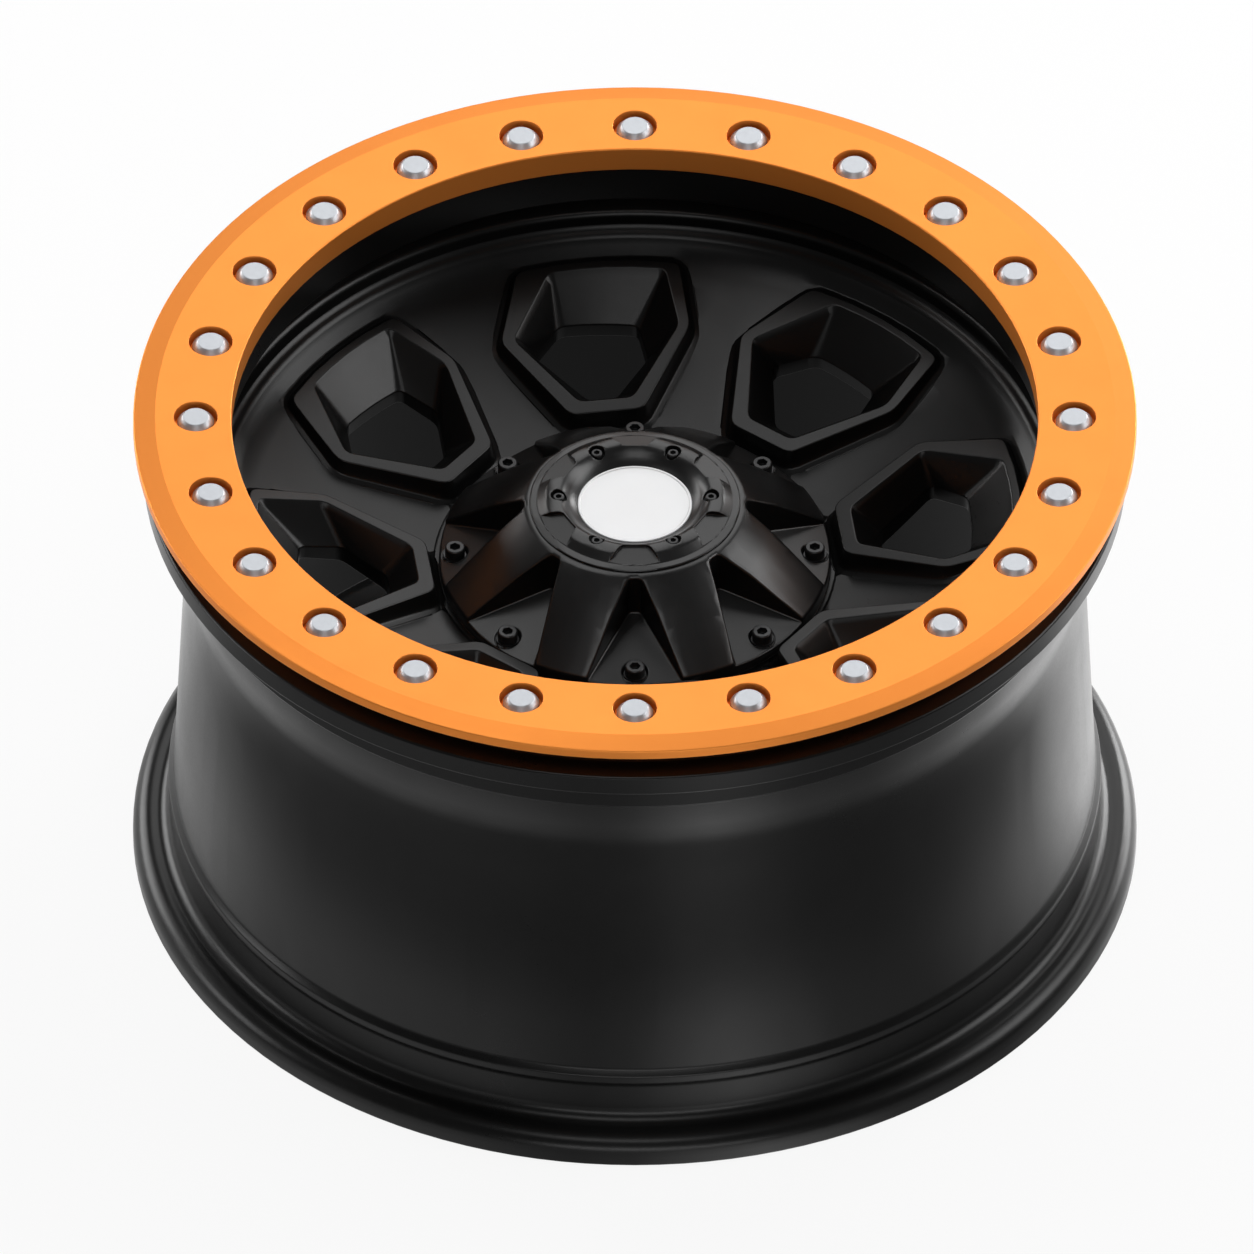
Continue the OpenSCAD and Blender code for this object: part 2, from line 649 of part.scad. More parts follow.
// Raised crown in the middle of the cap, with its recesses and screw holes
module crown() {
    top_z = crown_z + crown_h;
    disc_top_z = disc_z + disc_t;
    color([0.08, 0.08, 0.085])
    difference() {
        rotate_extrude($fn = 96)
            polygon([[0, crown_z - crown_plug_h], [funnel_r - 3.2, crown_z - crown_plug_h],
                [funnel_r - 3.2, crown_z], [crown_seat_r - 0.4, crown_z],
                [crown_seat_r, crown_z + 0.4], [crown_seat_r - 0.6, crown_z + crown_seat_lip],
                [crown_body_r, crown_z + crown_seat_lip + 0.3],
                [crown_top_r + 1.4, top_z - 1.4], [crown_top_r, top_z - 0.5],
                [crown_crest_r, top_z], [crown_crest_r - 2.4, top_z - 0.7],
                [funnel_r + 0.6, top_z - 2.2], [funnel_r - 1.6, disc_top_z + 1.9],
                [disc_r + 1.4, disc_top_z + 0.6], [disc_r + seat_gap, disc_top_z],
                [disc_r + seat_gap, disc_z], [0, disc_z]]);
        around(crown_n)
            crown_recess();
        around(crown_n, crown_turn)
            translate([0, crown_screws_r, 0]) {
                translate([0, 0, crown_z - drill_run])
                    cylinder(d = crown_screw_d + 2 * seat_gap, h = crown_h, $fn = 24);
                translate([0, 0, crown_head_z])
                    cylinder(d = crown_recess_d, h = crown_h, $fn = 32);
            }
    }
}

// Sloping recess that starts at the inner crest and runs out at the foot of the crown
module crown_recess() {
    in_w = crown_recess_in_w / 2;
    out_w = crown_recess_out_w / 2;
    run = crown_body_r - crown_crest_r + 2;
    translate([0, crown_body_r, crown_z + crown_seat_lip + 0.3])
        rotate([-atan(crown_recess_rise / run), 0, 0])
            linear_extrude(crown_h)
                polygon([[2 - in_w, -run], [in_w - 2, -run], [in_w, 2 - run], [out_w, 0], [out_w + 1, 4],
                    [-out_w - 1, 4], [-out_w, 0], [-in_w, 2 - run]]);
}

module crown_screws() {
    head_r = crown_head_d / 2;
    color([0.2, 0.2, 0.21])
    around(crown_n, crown_turn)
        translate([0, crown_screws_r, crown_head_z])
            difference() {
                rotate_extrude($fn = 32)
                    polygon([[0, -crown_screw_l], [crown_screw_d / 2, -crown_screw_l],
                        [crown_screw_d / 2, 0], [head_r, 0],
                        [head_r, crown_head_h - crown_head_edge],
                        [head_r - crown_head_edge, crown_head_h], [0, crown_head_h]]);
                translate([0, 0, crown_head_h - crown_socket_h])
                    cylinder(d = crown_key / cos(30), h = crown_socket_h + drill_run, $fn = 6);
            }
}

module centre_disc() {
    edge_w = 1.2;
    color([0.92, 0.92, 0.93])
    translate([0, 0, disc_z])
        rotate_extrude($fn = 96)
            polygon([[0, 0], [disc_r, 0], [disc_r, disc_t], [disc_r - 0.3, disc_t + 0.3],
                [disc_r - edge_w, disc_t + 0.3], [disc_r - edge_w - 0.3, disc_t], [0, disc_t]]);
}

wheel_casting();
beadlock_ring();
ring_bolts();
ring_washers();
ring_inserts();
cap_body();
cap_screws();
cap_washers();
cap_inserts();
crown();
crown_screws();
centre_disc();
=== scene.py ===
"""Looks of an off-road beadlock wheel: powder coated casting, orange clamp ring and ribbed centre cap."""

import logging
import math
from contextlib import contextmanager
from dataclasses import dataclass
from enum import Enum
from typing import Any, Callable, ClassVar, Iterator, Sequence, Union

import bmesh
import bpy
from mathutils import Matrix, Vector


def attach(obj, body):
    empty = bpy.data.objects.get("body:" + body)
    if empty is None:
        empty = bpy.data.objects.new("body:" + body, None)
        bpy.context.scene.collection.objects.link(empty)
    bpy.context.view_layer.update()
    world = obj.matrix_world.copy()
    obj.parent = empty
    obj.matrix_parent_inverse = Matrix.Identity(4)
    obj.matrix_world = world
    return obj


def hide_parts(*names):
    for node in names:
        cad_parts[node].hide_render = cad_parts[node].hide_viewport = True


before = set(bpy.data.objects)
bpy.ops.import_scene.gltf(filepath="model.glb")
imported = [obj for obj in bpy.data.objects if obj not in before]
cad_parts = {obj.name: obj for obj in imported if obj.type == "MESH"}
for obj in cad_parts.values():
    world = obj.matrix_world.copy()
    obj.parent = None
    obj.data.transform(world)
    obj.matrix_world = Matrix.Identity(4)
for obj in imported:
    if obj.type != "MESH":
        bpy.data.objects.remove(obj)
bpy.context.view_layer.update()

LOG = logging.getLogger("beadlock_wheel")
MM = 0.001
BODY = "root"

Colour = tuple[float, float, float]
Stops = Sequence[tuple[float, float]]

NO_LIGHT: Colour = (0.0, 0.0, 0.0)
WHITE_LIGHT: Colour = (1.0, 1.0, 1.0)


class Node(Enum):
    """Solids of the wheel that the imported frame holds."""

    CASTING = "wheel_casting"
    RING = "beadlock_ring"
    RING_BOLTS = "ring_bolts"
    RING_WASHERS = "ring_washers"
    RING_INSERTS = "ring_inserts"
    CAP = "cap_body"
    CAP_SCREWS = "cap_screws"
    CAP_WASHERS = "cap_washers"
    CAP_INSERTS = "cap_inserts"
    CROWN = "crown"
    CROWN_SCREWS = "crown_screws"
    DISC = "centre_disc"


class Slot(Enum):
    """Material slots of the visible pieces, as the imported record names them."""

    BLACK = "black_coat"
    ORANGE = "orange_coat"
    BRIGHT = "bright_steel"
    CAP = "cap_coat"
    BLACK_STEEL = "black_steel"
    WHITE = "white_disc"


class Socket:
    """A shader socket that takes part in Python expressions, each of which adds Math nodes."""

    def __init__(self, graph: "Graph", link: bpy.types.NodeSocket) -> None:
        """Keeps the graph and the output socket of one of its nodes."""
        self.graph = graph
        self.link = link

    def __add__(self, other: "Value") -> "Socket":
        """Sum of this value and another."""
        return self.graph.math("ADD", self, other)

    __radd__ = __add__

    def __sub__(self, other: "Value") -> "Socket":
        """This value less another."""
        return self.graph.math("SUBTRACT", self, other)

    def __rsub__(self, other: "Value") -> "Socket":
        """Another value less this one."""
        return self.graph.math("SUBTRACT", other, self)

    def __mul__(self, other: "Value") -> "Socket":
        """Product of this value and another."""
        return self.graph.math("MULTIPLY", self, other)

    __rmul__ = __mul__

    def __truediv__(self, other: "Value") -> "Socket":
        """This value over another."""
        return self.graph.math("DIVIDE", self, other)

    def __rtruediv__(self, other: "Value") -> "Socket":
        """Another value over this one."""
        return self.graph.math("DIVIDE", other, self)

    def clamped(self) -> "Socket":
        """This value, held between 0 and 1."""
        return self.graph.math("ADD", self, 0.0, clamp=True)

    def swing(self, reach: float) -> "Socket":
        """This value from 0 to 1, moved to lie about 0 and scaled."""
        return (self - 0.5) * reach


Value = Union[float, Socket]


@dataclass(frozen=True)
class Grain:
    """A noise pattern: features for each metre, octaves, and the weight of the finer ones."""

    scale: float
    detail: float = 2.0
    roughness: float = 0.5


class Graph:
    """The node graph of a material or a world."""

    def __init__(self, owner: Union[bpy.types.Material, bpy.types.World]) -> None:
        """Empties the graph of a new material or world.

        Args:
            owner: The material or world.
        """
        owner.use_nodes = True
        self.owner = owner
        self.tree = owner.node_tree
        self.tree.nodes.clear()

    @classmethod
    def of_material(cls, name: str) -> "Graph":
        """Empty graph of a new material of that name."""
        return cls(bpy.data.materials.new(name))

    def node(self, kind: str, settings: dict[str, Any] | None = None,
             inputs: dict[Any, Any] | None = None) -> bpy.types.Node:
        """Adds one node.

        Args:
            kind: Blender's name of the node type.
            settings: Properties of the node, set before its sockets, and the stops of a ramp.
            inputs: Value or Socket for each input, by the input's name or number.

        Returns:
            The new node.
        """
        made = self.tree.nodes.new(kind)
        for key, value in (settings or {}).items():
            if key == "stops":
                self._stops(made.color_ramp, value)
            else:
                setattr(made, key, value)
        for key, value in (inputs or {}).items():
            if isinstance(value, Socket):
                self.tree.links.new(value.link, made.inputs[key])
            else:
                made.inputs[key].default_value = value
        return made

    @staticmethod
    def _stops(ramp: bpy.types.ColorRamp, stops: Stops) -> None:
        """Sets grey stops of a ramp.

        Args:
            ramp: Ramp of a ColorRamp node.
            stops: Place and grey level of each stop, from left to right.
        """
        while len(ramp.elements) < len(stops):
            ramp.elements.new(0.5)
        for element, (place, level) in zip(ramp.elements, stops):
            element.position = place
            element.color = (level, level, level, 1.0)

    def out(self, node: bpy.types.Node, name: Any = 0) -> Socket:
        """Socket of a node's output, by name or number."""
        return Socket(self, node.outputs[name])

    def math(self, operation: str, a: Value, b: Value, clamp: bool = False) -> Socket:
        """Adds a Math node.

        Args:
            operation: Operation of the node.
            a: First value.
            b: Second value.
            clamp: Whether the result is held between 0 and 1.

        Returns:
            The result.
        """
        settings = {"operation": operation, "use_clamp": clamp}
        return self.out(self.node("ShaderNodeMath", settings, {0: a, 1: b}))

    def place(self, scale: Sequence[float] = (1.0, 1.0, 1.0)) -> Socket:
        """Object coordinates, stretched.

        Args:
            scale: Factor along X, Y and Z.

        Returns:
            The coordinates.
        """
        where = self.out(self.node("ShaderNodeTexCoord"), "Object")
        return self.out(self.node("ShaderNodeMapping", {"vector_type": "POINT"},
                                  {"Vector": where, "Scale": tuple(scale)}))

    def length(self, vector: Socket) -> Socket:
        """Length of a vector."""
        return self.out(self.node("ShaderNodeVectorMath", {"operation": "LENGTH"}, {0: vector}), "Value")

    def noise(self, where: Socket, grain: Grain) -> Socket:
        """Noise pattern.

        Args:
            where: Coordinates.
            grain: Size and character of the pattern.

        Returns:
            Noise about 0.5.
        """
        made = self.node("ShaderNodeTexNoise", {"noise_dimensions": "3D"},
                         {"Vector": where, "Scale": grain.scale, "Detail": grain.detail,
                          "Roughness": grain.roughness})
        return self.out(made, "Fac")

    def ramp(self, value: Socket, stops: Stops) -> Socket:
        """Value through a grey ramp.

        Args:
            value: Value from 0 to 1.
            stops: Place and level of each stop.

        Returns:
            The level.
        """
        return self.out(self.node("ShaderNodeValToRGB", {"stops": stops}, {"Fac": value}))

    def mix(self, share: Value, a: Colour, b: Colour) -> Socket:
        """Colour between two colours.

        Args:
            share: 0 gives the first colour and 1 the second.
            a: First colour.
            b: Second colour.

        Returns:
            The mixed colour.
        """
        made = self.node("ShaderNodeMix", {"data_type": "RGBA", "blend_type": "MIX", "clamp_factor": True},
                         {0: share, 6: (*a, 1.0), 7: (*b, 1.0)})
        return self.out(made, 2)

    def bump(self, height: Socket, strength: float, distance: float) -> Socket:
        """Normal bent by a height.

        Args:
            height: Height from 0 to 1.
            strength: Share of the effect.
            distance: Height in metres that 1 stands for.

        Returns:
            The normal.
        """
        return self.out(self.node("ShaderNodeBump", {},
                                  {"Strength": strength, "Distance": distance, "Height": height}))

    def surface(self, inputs: dict[str, Any]) -> bpy.types.Material:
        """Ends the graph in a Principled shader.

        Args:
            inputs: Value or Socket for each of the shader's inputs.

        Returns:
            The material.
        """
        shader = self.node("ShaderNodeBsdfPrincipled", {}, inputs)
        self.node("ShaderNodeOutputMaterial", {}, {"Surface": self.out(shader)})
        return self.owner


@dataclass(frozen=True)
class Coat:
    """A sprayed and baked coat, with the fine unevenness of powder coating."""

    name: str
    colour: Colour
    worn: Colour
    roughness: float = 0.3
    reflection: float = 0.3
    metallic: float = 0.0
    peel: float = 0.12
    peel_depth: float = 0.12 * MM
    peel_grain: Grain = Grain(750.0, 3.0, 0.6)
    cloud_grain: Grain = Grain(9.0, 3.0, 0.55)
    dust_grain: Grain = Grain(60.0, 6.0, 0.7)
    dust_stops: Stops = ((0.45, 0.0), (0.8, 1.0))
    cloud_tint: float = 0.5
    dust_tint: float = 0.18
    cloud_rough: float = 0.1
    peel_rough: float = 0.08
    dust_rough: float = 0.03

    def material(self) -> bpy.types.Material:
        """Builds the coat.

        Returns:
            The material.
        """
        g = Graph.of_material(self.name)
        where = g.place()
        peel = g.noise(where, self.peel_grain)
        cloud = g.noise(where, self.cloud_grain)
        dust = g.ramp(g.noise(where, self.dust_grain), self.dust_stops)
        rough = self.roughness + cloud.swing(self.cloud_rough) + peel.swing(self.peel_rough)
        return g.surface({
            "Base Color": g.mix(cloud * self.cloud_tint + dust * self.dust_tint, self.colour, self.worn),
            "Roughness": rough + dust * self.dust_rough,
            "Normal": g.bump(peel, self.peel, self.peel_depth),
            "Metallic": self.metallic,
            "Specular IOR Level": self.reflection})


@dataclass(frozen=True)
class TurnedSteel:
    """Bright steel with turning marks about each bolt's own axis, which its UV map centres."""

    name: str
    colour: Colour
    dull: Colour
    roughness: float = 0.38
    metallic: float = 0.55
    lines_per_metre: float = 2600.0
    fade: float = 250.0
    line_share: float = 0.25
    relief: float = 0.22
    relief_depth: float = 0.02 * MM
    uneven_grain: Grain = Grain(400.0, 3.0, 0.6)
    spot_grain: Grain = Grain(1500.0, 4.0, 0.65)
    spot_stops: Stops = ((0.5, 0.0), (0.75, 1.0))
    uneven_tint: float = 0.6
    spot_tint: float = 0.25
    uneven_rough: float = 0.16
    spot_rough: float = 0.08
    uv_name: ClassVar[str] = "about_axis"

    def material(self) -> bpy.types.Material:
        """Builds the steel.

        Returns:
            The material.
        """
        g = Graph.of_material(self.name)
        where = g.place()
        radius = g.length(g.out(g.node("ShaderNodeUVMap", {"uv_map": self.uv_name})))
        waves = g.math("SINE", radius * self.lines_per_metre * math.tau, 0.0)
        lines = waves * (radius * self.fade).clamped()
        uneven = g.noise(where, self.uneven_grain)
        spots = g.ramp(g.noise(where, self.spot_grain), self.spot_stops)
        return g.surface({
            "Base Color": g.mix(uneven * self.uneven_tint + spots * self.spot_tint, self.colour, self.dull),
            "Roughness": self.roughness + uneven.swing(self.uneven_rough) + spots * self.spot_rough,
            "Normal": g.bump(lines * self.line_share + uneven, self.relief, self.relief_depth),
            "Metallic": self.metallic})


@dataclass(frozen=True)
class PlainSteel:
    """Dull steel of screws, washers and inserts."""

    name: str
    colour: Colour
    dull: Colour
    roughness: float = 0.4
    metallic: float = 1.0
    relief: float = 0.2
    relief_depth: float = 0.03 * MM
    fine_grain: Grain = Grain(1200.0, 4.0, 0.6)
    cloud_grain: Grain = Grain(150.0, 3.0, 0.6)
    fine_rough: float = 0.2

    def material(self) -> bpy.types.Material:
        """Builds the steel.

        Returns:
            The material.
        """
        g = Graph.of_material(self.name)
        where = g.place()
        fine = g.noise(where, self.fine_grain)
        return g.surface({
            "Base Color": g.mix(g.noise(where, self.cloud_grain), self.colour, self.dull),
            "Roughness": self.roughness + fine.swing(self.fine_rough),
            "Normal": g.bump(fine, self.relief, self.relief_depth),
            "Metallic": self.metallic})


@dataclass(frozen=True)
class SatinDisc:
    """Satin white disc with a faint brushed sweep."""

    name: str
    colour: Colour
    shade: Colour
    roughness: float = 0.35
    metallic: float = 0.25
    relief: float = 0.08
    relief_depth: float = 0.03 * MM
    brush_stretch: tuple[float, float, float] = (1.0, 24.0, 1.0)
    brush_grain: Grain = Grain(420.0, 3.0, 0.6)
    cloud_grain: Grain = Grain(40.0)
    brush_tint: float = 0.35
    cloud_tint: float = 0.4
    brush_rough: float = 0.15

    def material(self) -> bpy.types.Material:
        """Builds the finish.

        Returns:
            The material.
        """
        g = Graph.of_material(self.name)
        brushed = g.noise(g.place(self.brush_stretch), self.brush_grain)
        cloud = g.noise(g.place(), self.cloud_grain)
        return g.surface({
            "Base Color": g.mix(brushed * self.brush_tint + cloud * self.cloud_tint, self.colour, self.shade),
            "Roughness": self.roughness + brushed.swing(self.brush_rough),
            "Normal": g.bump(brushed, self.relief, self.relief_depth),
            "Metallic": self.metallic})


class Finishes:
    """The wheel's finishes, each made once."""

    def __init__(self) -> None:
        """Builds every material."""
        self.black = Coat("black_powder_coat", (0.0036, 0.0036, 0.0037), (0.0065, 0.0063, 0.006)).material()
        self.cap = Coat("cap_black_coat", (0.005, 0.005, 0.0052), (0.0085, 0.0082, 0.008),
                        reflection=0.55, peel=0.04).material()
        self.orange = Coat("orange_ring_coat", (0.95, 0.31, 0.055), (0.9, 0.28, 0.048),
                           roughness=0.42, reflection=0.12, metallic=0.65, peel=0.05).material()
        self.bright = TurnedSteel("zinc_plated_steel", (0.52, 0.54, 0.57), (0.44, 0.455, 0.48)).material()
        self.steel = PlainSteel("plain_steel", (0.5, 0.5, 0.52), (0.38, 0.38, 0.39)).material()
        self.black_steel = PlainSteel("black_oxide_steel", (0.018, 0.018, 0.02), (0.03, 0.03, 0.03),
                                      roughness=0.32, metallic=0.4).material()
        self.white = SatinDisc("satin_white_disc", (0.86, 0.865, 0.87), (0.76, 0.765, 0.775)).material()


@contextmanager
def edited(mesh: bpy.types.Mesh) -> Iterator[bmesh.types.BMesh]:
    """Opens a mesh for bmesh operators and writes it back when they are done.

    Args:
        mesh: Mesh to work on.

    Yields:
        The mesh as a bmesh.
    """
    work = bmesh.new()
    work.from_mesh(mesh)
    yield work
    work.to_mesh(mesh)
    work.free()


def bend(edge: bmesh.types.BMEdge) -> float:
    """Bend across an edge in degrees, 0 for an open edge."""
    return math.degrees(edge.calc_face_angle(0.0))


class Maker:
    """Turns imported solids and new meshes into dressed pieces."""

    MERGE_DISTANCE = 0.002 * MM
    FLAT_BEND = 0.25
    EDGE_ANGLE = 28.0
    ROUNDING_SEGMENTS = 2
    SHADING_WEIGHT = 60

    @classmethod
    def merged_copy(cls, node: Node, name: str) -> bpy.types.Object:
        """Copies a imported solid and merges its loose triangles.

        Args:
            node: Solid to copy.
            name: Name of the copy.

        Returns:
            The copy, linked to the scene.
        """
        mesh = bpy.data.meshes.new(name)
        with edited(mesh) as work:
            work.from_mesh(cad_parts[node.value].data)
            bmesh.ops.remove_doubles(work, verts=work.verts, dist=cls.MERGE_DISTANCE)
            cls.merge_flat(work)
        copy = bpy.data.objects.new(name, mesh)
        bpy.context.scene.collection.objects.link(copy)
        return copy

    @classmethod
    def merge_flat(cls, work: bmesh.types.BMesh) -> None:
        """Merges neighbouring faces that lie flat to each other."""
        bmesh.ops.dissolve_limit(work, angle_limit=math.radians(cls.FLAT_BEND), verts=work.verts,
                                 edges=work.edges, use_dissolve_boundaries=False)

    @classmethod
    def soften(cls, piece: bpy.types.Object, width: float, angle: float = EDGE_ANGLE,
               crease: Callable[[bmesh.types.BMEdge], bool] | None = None) -> None:
        """Rounds the sharp edges of a piece and shades it smooth.

        Args:
            piece: Piece to round.
            width: Width of the rounding in metres.
            angle: Smallest bend in degrees that counts as an edge.
            crease: Tells the edges that stay plain creases.
        """
        with edited(piece.data) as work:
            weight = work.edges.layers.float.new("bevel_weight_edge")
            for face in work.faces:
                face.smooth = True
            for edge in work.edges:
                edge.smooth = True
                if crease is not None and crease(edge):
                    edge.smooth = False
                elif bend(edge) > angle:
                    edge[weight] = 1.0
        bevel = piece.modifiers.new("edge_rounding", "BEVEL")
        bevel.width = width
        bevel.segments = cls.ROUNDING_SEGMENTS
        bevel.limit_method = "WEIGHT"
        bevel.use_clamp_overlap = False
        bevel.miter_outer = "MITER_SHARP"
        evened = piece.modifiers.new("even_shading", "WEIGHTED_NORMAL")
        evened.mode = "FACE_AREA"
        evened.weight = cls.SHADING_WEIGHT
        evened.keep_sharp = True

    @classmethod
    def softened(cls, node: Node, name: str, width: float, material: bpy.types.Material,
                 slot: Slot) -> bpy.types.Object:
        """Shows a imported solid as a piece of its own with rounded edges.

        Args:
            node: Solid that the piece stands for.
            name: Name of the piece.
            width: Width of the rounding in metres.
            material: Finish of the piece.
            slot: Its material slot.

        Returns:
            The piece.
        """
        piece = cls.merged_copy(node, name)
        cls.soften(piece, width)
        return cls.dress(piece, material, slot, node)

    @staticmethod
    def dress(piece: bpy.types.Object, material: bpy.types.Material, slot: Slot,
              node: Node) -> bpy.types.Object:
        """Gives a new piece its finish and its body, and hides the solid it stands for.

        Args:
            piece: Finished piece.
            material: Its finish.
            slot: Its material slot; not used.
            node: Solid that it replaces.

        Returns:
            The piece.
        """
        piece.data.materials.clear()
        piece.data.materials.append(material)
        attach(piece, BODY)
        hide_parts(node.value)
        LOG.info("%s: %d faces", piece.name, len(piece.data.polygons))
        return piece

    @staticmethod
    def paint(node: Node, material: bpy.types.Material) -> None:
        """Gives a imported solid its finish, with its shape as it is.

        Args:
            node: Solid to paint.
            material: Its finish.
        """
        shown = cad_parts[node.value]
        shown.data.materials.clear()
        shown.data.materials.append(material)
        LOG.info("%s: carried over", node.value)


@dataclass
class WheelBody:
    """The casting: barrel, flanges, dish and framed windows."""

    edge: float = 0.6 * MM
    edge_angle: float = 30.0
    crease_angle: float = 5.0
    dish_start: float = 92.0 * MM
    dish_end: float = 185.8 * MM
    dish_base: float = 169.0 * MM
    dish_slope: float = 0.2
    dish_growth: float = 1.01
    dish_margin: float = 0.06 * MM
    cove_radii: tuple[float, float] = (194.5 * MM, 197.5 * MM)
    cove_heights: tuple[float, float] = (202.0 * MM, 207.0 * MM)
    cove_level: float = 0.05 * MM
    cove_bend: float = 22.0
    cove_width: float = 1.5 * MM
    cove_segments: int = 4

    def build(self, finishes: Finishes) -> None:
        """Builds and dresses the casting.

        Args:
            finishes: The wheel's finishes.
        """
        shell = Maker.merged_copy(Node.CASTING, "casting_shell")
        self.round_cove(shell.data)
        Maker.soften(shell, self.edge, self.edge_angle, crease=self.is_foot_outline)
        Maker.dress(shell, finishes.black, Slot.BLACK, Node.CASTING)

    def on_dish(self, face: bmesh.types.BMFace) -> bool:
        """Tells whether a face is part of the open dish between the windows.

        Args:
            face: Face of the casting.

        Returns:
            True where every corner lies on the curve of the dish.
        """
        for vert in face.verts:
            out = vert.co.xy.length - self.dish_start
            height = self.dish_base + out * (self.dish_slope + self.dish_growth * out)
            if abs(vert.co.z - height) > self.dish_margin:
                return False
        return True

    def is_foot_outline(self, edge: bmesh.types.BMEdge) -> bool:
        """Tells whether an edge is where the foot of a window runs out into the dish.

        Args:
            edge: Edge of the casting.

        Returns:
            True for such an edge with a bend that shows.
        """
        if bend(edge) < self.crease_angle:
            return False
        if all(vert.co.xy.length > self.dish_end for vert in edge.verts):
            return False
        return sum(self.on_dish(face) for face in edge.link_faces) == 1

    def in_cove(self, edge: bmesh.types.BMEdge) -> bool:
        """Tells whether an edge runs round the ledge above the dish.

        Args:
            edge: Edge of the casting.

        Returns:
            True for a level edge there with a bend that shows.
        """
        near, far = self.cove_radii
        low, high = self.cove_heights
        first, second = edge.verts
        inside = all(near < vert.co.xy.length < far and low < vert.co.z < high for vert in edge.verts)
        level = abs(first.co.z - second.co.z) < self.cove_level
        return inside and level and bend(edge) > self.cove_bend

    def round_cove(self, mesh: bpy.types.Mesh) -> None:
        """Rounds the ledge above the dish, which is softer than the other edges.

        Args:
            mesh: Mesh of the casting.
        """
        with edited(mesh) as work:
            ledge = [edge for edge in work.edges if self.in_cove(edge)]
            bmesh.ops.bevel(work, geom=ledge, offset=self.cove_width, segments=self.cove_segments,
                            profile=0.5, affect="EDGES", material=-1, clamp_overlap=True)
            LOG.info("cove: %d edges rounded", len(ledge))


@dataclass
class ClampRing:
    """The orange ring with its bolts, washers and inserts."""

    edge: float = 0.4 * MM
    edge_angle: float = 38.0
    slope_start: float = 225.4 * MM
    slope_margin: float = 0.2 * MM
    slope_bend: float = 4.0
    bolt_edge: float = 0.25 * MM
    bolts: int = 24
    bolt_circle_radius: float = 206.25 * MM
    dimple_radius: float = 0.85 * MM
    dimple_depth: float = 0.5 * MM

    def build(self, finishes: Finishes) -> None:
        """Builds and dresses the ring and its fasteners.

        Args:
            finishes: The wheel's finishes.
        """
        ring = Maker.merged_copy(Node.RING, "clamp_ring")
        Maker.soften(ring, self.edge, self.edge_angle, crease=self.starts_slope)
        Maker.dress(ring, finishes.orange, Slot.ORANGE, Node.RING)
        bolts = Maker.merged_copy(Node.RING_BOLTS, "clamp_ring_bolts")
        self.fill_dimples(bolts.data)
        self.centre_pattern(bolts.data)
        Maker.soften(bolts, self.bolt_edge)
        Maker.dress(bolts, finishes.bright, Slot.BRIGHT, Node.RING_BOLTS)
        Maker.paint(Node.RING_WASHERS, finishes.steel)
        Maker.paint(Node.RING_INSERTS, finishes.steel)

    def starts_slope(self, edge: bmesh.types.BMEdge) -> bool:
        """Tells whether an edge is where the flat top of the ring turns into its shallow outer slope.

        Args:
            edge: Edge of the ring.

        Returns:
            True for an edge on that circle.
        """
        on_circle = all(abs(vert.co.xy.length - self.slope_start) < self.slope_margin for vert in edge.verts)
        return on_circle and bend(edge) > self.slope_bend

    def from_axis(self, place: Vector) -> tuple[float, float]:
        """Offset of a place from the axis of the nearest bolt.

        Args:
            place: Place on or near a bolt.

        Returns:
            Offset along X and Y in metres.
        """
        step = math.tau / self.bolts
        turn = round(math.atan2(place.x, place.y) / step) * step
        return (place.x - self.bolt_circle_radius * math.sin(turn),
                place.y - self.bolt_circle_radius * math.cos(turn))

    def fill_dimples(self, mesh: bpy.types.Mesh) -> None:
        """Levels the small dimple in the middle of each bolt head, as in the photograph.

        Args:
            mesh: Mesh that holds all bolts of the ring.
        """
        with edited(mesh) as work:
            top = max(vert.co.z for vert in work.verts)
            for vert in work.verts:
                middle = math.hypot(*self.from_axis(vert.co)) < self.dimple_radius
                if middle and top - vert.co.z < self.dimple_depth:
                    vert.co.z = top
            Maker.merge_flat(work)

    def centre_pattern(self, mesh: bpy.types.Mesh) -> None:
        """Gives each bolt a UV map in metres about its own axis.

        Args:
            mesh: Mesh that holds all bolts of the ring.
        """
        layer = mesh.uv_layers.new(name=TurnedSteel.uv_name)
        for loop in mesh.loops:
            layer.data[loop.index].uv = self.from_axis(mesh.vertices[loop.vertex_index].co)


@dataclass
class CentreCap:
    """The ribbed cap, its crown, screws and the plain disc."""

    edge: float = 1.0 * MM
    crown_edge: float = 0.35 * MM
    screw_edge: float = 0.2 * MM
    disc_edge: float = 0.2 * MM

    def build(self, finishes: Finishes) -> None:
        """Builds and dresses the cap.

        Args:
            finishes: The wheel's finishes.
        """
        Maker.softened(Node.CAP, "cap_shell", self.edge, finishes.cap, Slot.CAP)
        Maker.softened(Node.CROWN, "crown_shell", self.crown_edge, finishes.cap, Slot.CAP)
        for screws, name in ((Node.CAP_SCREWS, "cap_socket_screws"),
                             (Node.CROWN_SCREWS, "crown_socket_screws")):
            Maker.softened(screws, name, self.screw_edge, finishes.black_steel, Slot.BLACK_STEEL)
        Maker.softened(Node.DISC, "plain_disc", self.disc_edge, finishes.white, Slot.WHITE)
        Maker.paint(Node.CAP_WASHERS, finishes.black_steel)
        Maker.paint(Node.CAP_INSERTS, finishes.steel)


@dataclass(frozen=True)
class Softbox:
    """A rectangular studio lamp aimed at the wheel: place in degrees and metres, size, and power in watts."""

    name: str
    azimuth: float
    elevation: float
    distance: float
    width: float
    height: float
    power: float


